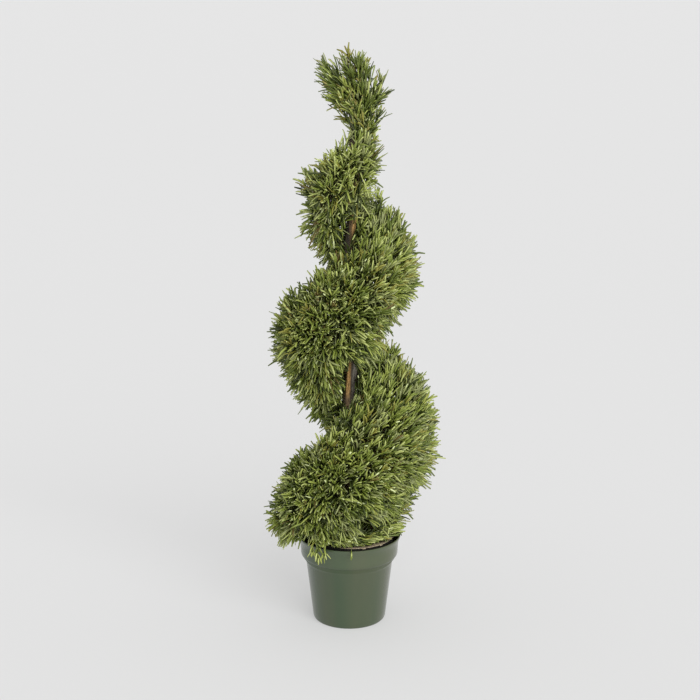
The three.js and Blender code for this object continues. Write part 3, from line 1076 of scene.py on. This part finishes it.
# Short sprigs on the trunk itself, which fill the spiral's middle.
def innerStems(rng):
    count = inner["sprigs"]
    heights = inner["from"] + (inner["to"] - inner["from"]) * (np.arange(count) + 0.5) / count
    angles = goldenAngles(rng, count, inner["angleSpread"])
    outwards = np.stack([np.cos(angles), np.sin(angles)], 1)
    middle = trunkCentre(heights)
    lengths = rng.uniform(*inner["length"], count)
    near, far = inner["foot"]
    starts = np.column_stack([middle + outwards * near, heights])
    ways = unit(np.column_stack([outwards, rng.uniform(*inner["rise"], count)]))
    ends = np.column_stack([middle + outwards * far, heights]) + ways * lengths[:, None]
    turns = gridTurns[np.abs(coreHeight(gridTurns)[None] - heights[:, None]).argmin(1)]
    return stemCurves(starts, ends, ways), massOfTurns(turns), inner


skirt = {
    "from": -128,  # degrees round the trunk
    "to": 25,
    "sprigs": 68,
    "reach": (0.056, 0.092),  # of the stems' ends from the trunk
    "height": (0.1945, 0.203),
    "climb": (0.009, 1.5),  # from the first to the last, and how late
    "outwards": (0.3, 0.8),
    "rise": (0.05, 0.08),
    "length": 0.055,
    "foot": (-0.012, 0.006),  # further in and up
    "leafyLength": 0.050,
    "size": 1.1,
    "spread": 0.55,
    "mass": "foliage_low_front",
}


# The skirt: sprigs that lie low round the front of the pot's top, along the rising strand.
def skirtStems(rng):
    count = skirt["sprigs"]
    share = rng.random(count)
    angles = np.radians(skirt["from"] + (skirt["to"] - skirt["from"]) * share)
    reach = rng.uniform(*skirt["reach"], count)
    climb, late = skirt["climb"]
    heights = rng.uniform(*skirt["height"], count) + climb * share**late
    ends = np.stack([reach * np.cos(angles), reach * np.sin(angles), heights], 1)
    outwards = np.stack([np.cos(angles), np.sin(angles), 0 * angles], 1)
    onwards = np.stack([-np.sin(angles), np.cos(angles), 0 * angles], 1)
    ways = outwards * rng.uniform(*skirt["outwards"], count)[:, None] + onwards
    ways[:, 2] = rng.normal(*skirt["rise"], count)
    ways = unit(ways)
    footIn, footUp = skirt["foot"]
    starts = ends - ways * skirt["length"] + outwards * footIn + np.array([0, 0, footUp])
    return stemCurves(starts, ends, ways), np.full(count, massNodes.index(skirt["mass"])), skirt


# Sprigs that hang over the pot's rim: path, leafy length, size, share of the spread.
hanging = {
    "sprigs": [
        ([(-0.042, -0.062, 0.240), (-0.054, -0.086, 0.229), (-0.0630, -0.104, 0.214),
          (-0.0655, -0.1115, 0.206), (-0.0660, -0.1150, 0.198), (-0.0655, -0.1150, 0.190),
          (-0.0645, -0.1140, 0.183)], 0.064, 0.58, 1.2),
        ([(-0.036, -0.062, 0.238), (-0.044, -0.084, 0.230), (-0.0490, -0.100, 0.218),
          (-0.0515, -0.109, 0.208), (-0.0525, -0.1135, 0.200), (-0.0525, -0.1150, 0.194),
          (-0.0520, -0.1150, 0.188)], 0.050, 0.5, 1.2),
        ([(-0.050, -0.062, 0.240), (-0.062, -0.082, 0.231), (-0.0705, -0.095, 0.219),
          (-0.0745, -0.103, 0.209), (-0.0760, -0.1065, 0.202), (-0.0765, -0.1080, 0.197),
          (-0.0760, -0.1085, 0.192)], 0.050, 0.5, 1.2),
        ([(0.004, -0.070, 0.214), (0.004, -0.086, 0.211), (0.0042, -0.099, 0.206),
          (0.0043, -0.108, 0.201), (0.0044, -0.1125, 0.198), (0.0044, -0.1150, 0.195),
          (0.0044, -0.1160, 0.192)], 0.001, 0.42, 0.10),
    ],
    "mass": "foliage_turn1_left",
    "seed": 7,
}


def hangingStems():
    massIndex = np.array([massNodes.index(hanging["mass"])])
    for path, leafyLength, size, spread in hanging["sprigs"]:
        look = {"leafyLength": leafyLength, "size": size, "sizeSpread": 0, "spread": spread}
        yield np.array(path)[None], massIndex, {**look, "hangs": True}


needle = {
    "length": (0.029, 0.044),
    "width": (0.0036, 0.0045),
    "thickness": 0.45,  # share of the width
    "nodeSpacing": 0.0098,
    "firstNode": 0.003,  # back from the stem's tip
    "leafyShare": 0.95,  # of a stem's length at most
    "nodeTurn": 1.75,  # radians from one node to the next
    "perNode": 2,
    "aroundNoise": 0.3,
    "spread": (46, 30),  # degrees from the stem, at the sprig's foot and at its tip
    "spreadNoise": 10,
    "endNeedles": 4,
    "endSpread": (7, 24),  # the middle one, and the ring round it
    "endNoise": 8,
    "endSize": (0.92, 0.80),
    "bend": 0.34,
    "bendNoise": (0.55, 0.75),
    "sideBend": 0.17,
    "droop": (0.0, 0.36),  # how far a needle's tip sinks, as a share of its length
    "rings": (0.0, 0.34, 0.70, 0.95),  # places along a needle
    "widths": (0.5, 0.95, 1.0, 0.62),
    "roughness": (0.32, 0.48),
    "specular": 0.45,
    "patches": (120, 2),
    "grain": (1400, 2),
    "grainRelief": (0.12, 0.0003),
}

# colour of each tint of moulded needle, and how often a sprig has it
tints = {
    "deepNeedle": (linear(100, 114, 46), 0.22),
    "midNeedle": (linear(132, 146, 62), 0.34),
    "freshNeedle": (linear(163, 174, 85), 0.20),
    "oliveNeedle": (linear(148, 146, 66), 0.09),
    "greyNeedle": (linear(146, 153, 97), 0.13),
    "brownNeedle": (linear(112, 98, 50), 0.015),
}
extraTints = {
    # painted shade
    "shadedNeedle": linear(61, 72, 26),
    "lightNeedle": linear(184, 193, 115),
    # paler cut ends, and painted glints and highlights
    "paleGlintNeedle": linear(220, 230, 168),
    "ochreNeedle": linear(148, 139, 72),
}

# how often sprigs, needles and parts of needles have another tint, as shares
tinting = {
    "rightReach": 0.08,  # to the right the plant is greyer and has less painted shade, in full from here on
    "greyRight": 0.17,
    "neckHeight": 1.0,
    "greyNeck": 0.40,
    "deepTip": 0.38,
    "otherNeedle": 0.14,
    "shadedDepth": 0.032,  # further back than this along a sprig they mostly get painted shade
    "shadedLess": 0.25,
    "shadedMost": 0.85,
    "tipShaded": 0.5,
    "rightClear": 0.45,
    "shadedByGap": 0.45,
    "gapGrow": 1.7,  # painted shade by a gap: in so many times its size, from so far behind its foot
    "gapStart": -0.06,
    # pale end caps: partly the paler cut plastic, partly painted glints
    "paleTipAndGlint": 0.12,
    # painted highlight along a pale band of the blade
    "glintBlade": 0.022,
    # painted shade on the foot of some needles
    "shadedFoot": 0.5,
    "lightEnd": 0.165,
    "lightEndTip": -0.075,
    # the upper turns get more light ends: painted light that makes them lighter
    "upperPaintedLight": 0.11,
    "upperMasses": ("foliage_turn3_left", "foliage_turn3_front"),
    "ochreEnd": 0.14,
}


def needleMaterials():
    made = []
    colours = {name: colour for name, (colour, _) in tints.items()}
    for name, colour in {**colours, **extraTints}.items():
        material, tree, shader = newMaterial(name)
        vector = stretchedCoordinates(tree)
        patches = addNoise(tree, vector, *needle["patches"])
        fine = addNoise(tree, vector, *needle["grain"])
        fillInputs(tree, shader, {
            "Base Color": colour,
            "Specular IOR Level": needle["specular"],
            "Roughness": addRange(tree, patches, *needle["roughness"]),
            "Normal": addBump(tree, fine, *needle["grainRelief"]),
        })
        made.append(material)
    return made


# The triangles of one three-sided blade, and the band along it that each belongs to.
def bladeFaces():
    last = len(needle["rings"]) - 1
    faces, bands = [(2, 1, 0)], [0]
    for ring in range(last):
        for j in range(3):
            a, b = 3 * ring + j, 3 * ring + (j + 1) % 3
            faces += [(a, b, b + 3), (a, b + 3, a + 3)]
            bands += [ring, ring]
    faces.append((3 * last, 3 * last + 1, 3 * last + 2))
    return np.array(faces), np.array(bands + [last])


# Closed blades that bend from their feet.
def needleMesh(blades):
    length, width = blades["length"][:, None], blades["width"][:, None]
    ahead, bend = blades["ahead"], blades["bend"]
    rings = []
    for place, share in zip(needle["rings"], needle["widths"]):
        centre = blades["foot"] + length * (place * ahead + place**2 * bend)
        tangent = unit(ahead + 2 * place * bend)
        side = unit(np.cross(blades["ridge"], tangent))
        up = np.cross(tangent, side)
        half = 0.5 * share * width
        rings += [centre - side * half, centre + side * half]
        rings.append(centre + up * half * 2 * needle["thickness"])
    points = np.stack(rings, 1)  # needles, ring points, coordinates
    faces, _ = bladeFaces()
    triangles = faces[None] + len(rings) * np.arange(len(points))[:, None, None]
    return points.reshape(-1, 3), triangles.reshape(-1, 3)


# Closed tubes along many paths at once.
def tubeMesh(paths, radii, sides):
    count, rings, _ = paths.shape
    ahead = unit(np.gradient(paths, axis=1))
    whole = unit(paths[:, -1] - paths[:, 0])
    other = np.where(np.abs(whole[:, 2:3]) < 0.8, [[0.0, 0.0, 1.0]], [[1.0, 0.0, 0.0]])
    side = unit(np.cross(ahead, other[:, None, :]))
    up = np.cross(ahead, side)
    angle = 2 * np.pi * np.arange(sides) / sides
    spoke = (
        np.cos(angle)[None, None, :, None] * side[:, :, None]
        + np.sin(angle)[None, None, :, None] * up[:, :, None]
    )
    points = paths[:, :, None] + radii[None, :, None, None] * spoke
    faces = []
    for ring in range(rings - 1):
        for j in range(sides):
            a, b = ring * sides + j, ring * sides + (j + 1) % sides
            faces += [(a, b, b + sides), (a, b + sides, a + sides)]
    last = (rings - 1) * sides
    for j in range(1, sides - 1):
        faces.append((0, j + 1, j))
        faces.append((last, last + j, last + j + 1))
    triangles = np.array(faces)[None] + rings * sides * np.arange(count)[:, None, None]
    return points.reshape(-1, 3), triangles.reshape(-1, 3)


def joinedPiece(name, points, triangles, slots, materials):
    mesh = bpy.data.meshes.new(name)
    mesh.vertices.add(len(points))
    mesh.vertices.foreach_set("co", points.astype(np.float32).ravel())
    mesh.loops.add(triangles.size)
    mesh.loops.foreach_set("vertex_index", triangles.astype(np.int32).ravel())
    mesh.polygons.add(len(triangles))
    mesh.polygons.foreach_set("loop_start", np.arange(0, triangles.size, 3, dtype=np.int32))
    for material in materials:
        mesh.materials.append(material)
    mesh.polygons.foreach_set("material_index", slots.astype(np.int32))
    mesh.polygons.foreach_set("use_smooth", np.ones(len(triangles), bool))
    mesh.update(calc_edges=True)
    piece = bpy.data.objects.new(name, mesh)
    bpy.context.scene.collection.objects.link(piece)
    return piece


# Any way at right angles to each of the given ones, turned by the given angles.
def aroundWays(ways, angles):
    other = np.where(np.abs(ways[:, 2:3]) < 0.85, [[0.0, 0.0, 1.0]], [[1.0, 0.0, 0.0]])
    first = unit(np.cross(other, ways))
    second = np.cross(ways, first)
    return np.cos(angles)[:, None] * first + np.sin(angles)[:, None] * second


# Needles along the leafy end of every stem, in pairs, with a rosette at the tip.
def dealNeedles(rng, stems, leafy, scale, spreadShare):
    count, rings, _ = stems.shape
    pieces = np.linalg.norm(np.diff(stems, axis=1), axis=2)
    along = np.concatenate([np.zeros((count, 1)), np.cumsum(pieces, 1)], 1)
    total = along[:, -1]
    twist = rng.uniform(0, 2 * np.pi, count)
    parts = ("owner", "foot", "ahead", "bend", "ridge", "length", "depth")
    needles = {part: [] for part in parts}

    def place(index, back, spread, azimuth, size):
        at = np.clip(total[index] - back, 0, total[index])
        row = (along[index] <= at[:, None]).sum(1) - 1
        row = np.clip(row, 0, rings - 2)
        share = (at - along[index, row]) / np.maximum(pieces[index, row], 1e-6)
        point = stems[index, row] * (1 - share[:, None]) + stems[index, row + 1] * share[:, None]
        way = unit(stems[index, row + 1] - stems[index, row])
        out = aroundWays(way, azimuth)
        turned = np.radians(spread * spreadShare[index])
        first = np.cos(turned)[:, None] * way + np.sin(turned)[:, None] * out
        inward = np.sin(turned)[:, None] * way - np.cos(turned)[:, None] * out
        amount = needle["bend"] * rng.normal(*needle["bendNoise"], len(index)) * np.sin(turned)
        sideways = np.cross(way, out) * rng.normal(0, needle["sideBend"], len(index))[:, None]
        bend = inward * amount[:, None] + sideways
        bend[:, 2] -= rng.uniform(*needle["droop"], len(index))
        depth = np.full(len(index), back)
        made = (index, point, first, bend, -inward, size * scale[index], depth)
        for part, values in zip(parts, made):
            needles[part].append(values)

    for node in range(int(leafy.max() / needle["nodeSpacing"])):
        back = needle["firstNode"] + node * needle["nodeSpacing"]
        index = np.nonzero((leafy > back) & (total > back))[0]
        share = back / np.maximum(leafy[index], 1e-6)
        mean = needle["spread"][1] + (needle["spread"][0] - needle["spread"][1]) * share
        for k in range(needle["perNode"]):
            azimuth = twist[index] + node * needle["nodeTurn"] + 2 * np.pi * k / needle["perNode"]
            azimuth += rng.normal(0, needle["aroundNoise"], len(index))
            spread = mean + rng.normal(0, needle["spreadNoise"], len(index))
            size = rng.uniform(*needle["length"], len(index))
            place(index, back, spread, azimuth, size)
    index = np.arange(count)
    for k in range(needle["endNeedles"]):
        kind = min(k, 1)  # the middle one or the ring
        azimuth = twist + 2 * np.pi * k / (needle["endNeedles"] - 1)
        azimuth = azimuth + rng.normal(0, needle["aroundNoise"], count)
        spread = np.abs(rng.normal(needle["endSpread"][kind], needle["endNoise"], count))
        size = rng.uniform(*needle["length"], count) * needle["endSize"][kind]
        place(index, 0.0, spread, azimuth, size)
    return {part: np.concatenate(values) for part, values in needles.items()}


room = {
    "rimRadius": 0.1125,  # nothing green goes through the pot or the plug
    "rimTop": 0.1915,
    # no needle reaches over the front of the rim: from and to angle, radius, height
    "clearRim": [(-150, -62, 0.100, 0.207), (-62, 6, 0.104, 0.202), (-90, -35, 0.094, 0.198)],
    "clearFrom": 3,  # from this point on a stem keeps out of the gaps
    "lookedAt": (0.0, 0.35, 0.7, 1.0),  # places along a needle that must be clear
}


# Lifts the points that would lie in the pot, and moves those of hanging sprigs outwards.
def keepOutOfPot(points, hangs):
    radius = np.hypot(points[:, 0], points[:, 1])
    inside = (radius < room["rimRadius"]) & (points[:, 2] < room["rimTop"])
    beside = inside & hangs
    points[beside, :2] *= (room["rimRadius"] / radius[beside])[:, None]
    points[inside & ~hangs, 2] = room["rimTop"]
    return points


# Which points lie in one of the gaps that leave the trunk in view.
def inGaps(points, grow=1.0, start=0.008):
    inside = np.zeros(len(points), bool)
    for gapFoot, gapWay, halfWidth, halfHeight, gapDepth, slope in gaps:
        way = np.array(gapWay) / np.linalg.norm(gapWay)
        away = points - np.array(gapFoot)
        outwards = away @ way
        across = away - outwards[:, None] * way
        wide = (across[:, 0] - slope * across[:, 2]) / (halfWidth * grow)
        high = across[:, 2] / (halfHeight * grow)
        inside |= (wide**2 + high**4 < 1) & (outwards > start) & (outwards < gapDepth)
    return inside


# Which points lie over the front of the rim.
def overRim(points):
    angle = np.degrees(np.arctan2(points[:, 1], points[:, 0]))
    radius = np.hypot(points[:, 0], points[:, 1])
    over = np.zeros(len(points), bool)
    for first, last, least, height in room["clearRim"]:
        over |= (angle > first) & (angle < last) & (radius > least) & (points[:, 2] < height)
    return over


# One group of sprigs with their needles, clear of the pot and of the gaps that show the trunk.
def growGroup(rng, stems, massIndex, look):
    look = {"sizeSpread": 0.08, "spread": 1, "width": 1, "hangs": False, **look}
    hangs = look["hangs"]
    count, stemPoints, _ = stems.shape
    points = keepOutOfPot(stems.reshape(-1, 3), np.full(count * stemPoints, hangs))
    free = ~inGaps(points).reshape(-1, stemPoints)[:, room["clearFrom"]:].any(1)
    size = rng.normal(look["size"], look["sizeSpread"], count)[free]
    spread = np.broadcast_to(look["spread"], count)[free]
    stems = points.reshape(stems.shape)[free]
    lengths = np.linalg.norm(np.diff(stems, axis=1), axis=2).sum(1)
    leafy = np.minimum(look["leafyLength"], needle["leafyShare"] * lengths)
    needles = dealNeedles(rng, stems, leafy, size, spread)
    count = len(needles["foot"])
    needles["width"] = rng.uniform(*needle["width"], count) * look["width"]
    needles["hangs"] = np.full(count, hangs)
    needles["byGap"] = np.zeros(count, bool)
    blocked = np.zeros(count, bool)
    for along in room["lookedAt"]:
        reached = along * needles["ahead"] + along**2 * needles["bend"]
        points = needles["foot"] + needles["length"][:, None] * reached
        blocked |= (inGaps(points) | overRim(points)) & (not hangs)
        needles["byGap"] |= inGaps(points, tinting["gapGrow"], tinting["gapStart"])
    return stems, massIndex[free], {name: part[~blocked] for name, part in needles.items()}


# All the branches, the stems with the mass of each, and the needles.
def growFoliage(rng):
    crestRng = np.random.default_rng(crest["seed"])
    hangingRng = np.random.default_rng(hanging["seed"])
    boughs, twigs, sprigs = buildBranches(rng)
    groups = [
        (rng, *garlandStems(rng, twigs, sprigs)),
        (rng, *innerStems(rng)),
        (rng, *skirtStems(rng)),
        (crestRng, *crestStems(crestRng)),
    ]
    groups += [(hangingRng, *group) for group in hangingStems()]
    grown = [growGroup(*group) for group in groups]
    before = 0
    for stems, _, needles in grown:
        needles["owner"] += before
        before += len(stems)
    stems = np.concatenate([group[0] for group in grown])
    massIndex = np.concatenate([group[1] for group in grown])
    needles = {name: np.concatenate([group[2][name] for group in grown]) for name in needles}
    print("foliage:", len(boughs), "boughs,", len(twigs), "twigs,", len(stems), "sprigs,",
          len(needles["owner"]), "needles")
    return boughs, twigs, stems, massIndex, needles


# The tint of every triangle of every needle. A sprig has its own tint, and some of its needles,
# and their feet and ends, have another. The shaded tint is painted shade, and the pale one
# partly painted glints.
def dealTints(rng, stems, massIndex, needles):
    shares = np.array([share for _, share in tints.values()])
    shares = shares / shares.sum()
    kinds = len(shares)
    shaded, light, paleGlint, ochre = range(kinds, kinds + len(extraTints))
    sprigTint = rng.choice(kinds, len(stems), p=shares)
    rightness = np.clip(stems[:, -1, 0] / tinting["rightReach"], 0, 1)
    isNeck = (stems[:, -1, 2] > tinting["neckHeight"]) & (massIndex < tipIndex)
    greyer = tinting["greyRight"] * rightness + tinting["greyNeck"] * isNeck
    deeper = tinting["deepTip"] * (massIndex == tipIndex)
    draw = rng.random(len(stems))
    sprigTint = np.where(draw < greyer, list(tints).index("greyNeedle"), sprigTint)
    sprigTint = np.where(draw > 1 - deeper, list(tints).index("deepNeedle"), sprigTint)

    owner = needles["owner"]
    count = len(owner)
    own = sprigTint[owner]
    swap = rng.random(count) < tinting["otherNeedle"]
    own = np.where(swap, rng.choice(kinds, count, p=shares), own)
    isTip = massIndex[owner] == tipIndex
    # painted shade: mostly far back in a sprig, less on the right and in the crest, more round
    # the gaps, none on hanging sprigs
    depth = needles["depth"] / tinting["shadedDepth"] - tinting["shadedLess"]
    depth = np.clip(depth, 0, tinting["shadedMost"]) * (1 - tinting["tipShaded"] * isTip)
    paintedShade = rng.random(count) < depth
    rightness = np.clip(needles["foot"][:, 0] / tinting["rightReach"], 0, 1)
    paintedShade &= rng.random(count) > tinting["rightClear"] * rightness
    paintedShade |= needles["byGap"] & (rng.random(count) < tinting["shadedByGap"])
    paintedShade &= ~needles["hangs"]
    own = np.where(paintedShade, shaded, own)
    paleTipAndGlint = rng.random(count) < tinting["paleTipAndGlint"]
    glintBlade = rng.random(count) < tinting["glintBlade"]
    shadedFoot = rng.random(count) < tinting["shadedFoot"]
    upperMasses = [massNodes.index(name) for name in tinting["upperMasses"]]
    isUpper = np.isin(massIndex[owner], upperMasses)
    lightShare = tinting["lightEnd"] + tinting["lightEndTip"] * isTip
    lightShare = lightShare + tinting["upperPaintedLight"] * isUpper
    lightEnd = (rng.random(count) < lightShare) & ~paintedShade
    ochreEnd = (rng.random(count) < tinting["ochreEnd"]) & isTip & ~lightEnd

    # painted shade on some feet, light ends, ochre crest ends, a painted highlight on some blade
    # bands, and paler cut ends with painted glints on some caps
    _, bands = bladeFaces()
    dealt = np.repeat(own[:, None], len(bands), 1)
    dealt[np.ix_(shadedFoot, bands == 0)] = shaded
    dealt[np.ix_(lightEnd, bands >= 1)] = light
    dealt[np.ix_(ochreEnd, bands >= 2)] = ochre
    dealt[np.ix_(glintBlade, bands == 2)] = paleGlint
    dealt[np.ix_(paleTipAndGlint, bands == 3)] = paleGlint
    return dealt


wood = {
    # dark colour, light colour, roughness
    "barks": {
        "boughBark": (linear(64, 46, 32), linear(108, 80, 54), 0.75),
        "twigBark": (linear(70, 60, 34), linear(112, 96, 56), 0.7),
        "greenStem": (linear(92, 106, 44), linear(128, 140, 70), 0.55),
    },
    "grain": (150, 3),
    "relief": ((700, 2), 0.4, 0.0005),
    "sides": (7, 4, 3),  # of boughs, twigs and stems
    "greenFrom": 0.45,  # from here to its tip a sprig's stem is green
}


# Boughs and twigs in brown, sprig stems turning green towards their tips.
def buildWood(boughs, twigs, stems):
    brown, dull, green = (
        mottledMaterial(name, dark, light, wood["grain"], {"Roughness": rough}, wood["relief"])
        for name, (dark, light, rough) in wood["barks"].items()
    )
    parts = [
        ("boughs", np.array(boughs), branching["boughRadius"], [brown]),
        ("twigs", np.array(twigs), branching["twigRadius"], [dull]),
        ("sprig_stems", stems, branching["stemRadius"], [dull, green]),
    ]
    total = 0
    for (name, paths, radii, materials), sides in zip(parts, wood["sides"]):
        points, triangles = tubeMesh(paths, np.linspace(*radii, paths.shape[1]), sides)
        perPath = len(triangles) // len(paths)
        outer = np.arange(perPath) >= perPath * wood["greenFrom"]
        slots = np.tile(outer & (len(materials) > 1), len(paths))
        piece = joinedPiece(name, points, triangles, slots, materials)
        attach(piece, "root")
        total += len(triangles)
    print("wood:", total, "triangles")


def buildFoliage():
    rng = np.random.default_rng(branching["seed"])
    boughs, twigs, stems, massIndex, needles = growFoliage(rng)
    slots = dealTints(rng, stems, massIndex, needles)
    materials = needleMaterials()
    for index, node in enumerate(massNodes):
        chosen = massIndex[needles["owner"]] == index
        points, triangles = needleMesh({name: part[chosen] for name, part in needles.items()})
        hangs = np.repeat(needles["hangs"][chosen], 3 * len(needle["rings"]))
        piece = joinedPiece(
            node.replace("foliage", "needles"), keepOutOfPot(points, hangs), triangles,
            slots[chosen].ravel(), materials,
        )
        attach(piece, "root")
        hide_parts(node)
    buildWood(boughs, twigs, stems)


buildStudio()
buildPot()
buildPlug()
buildTrunk()
buildFoliage()
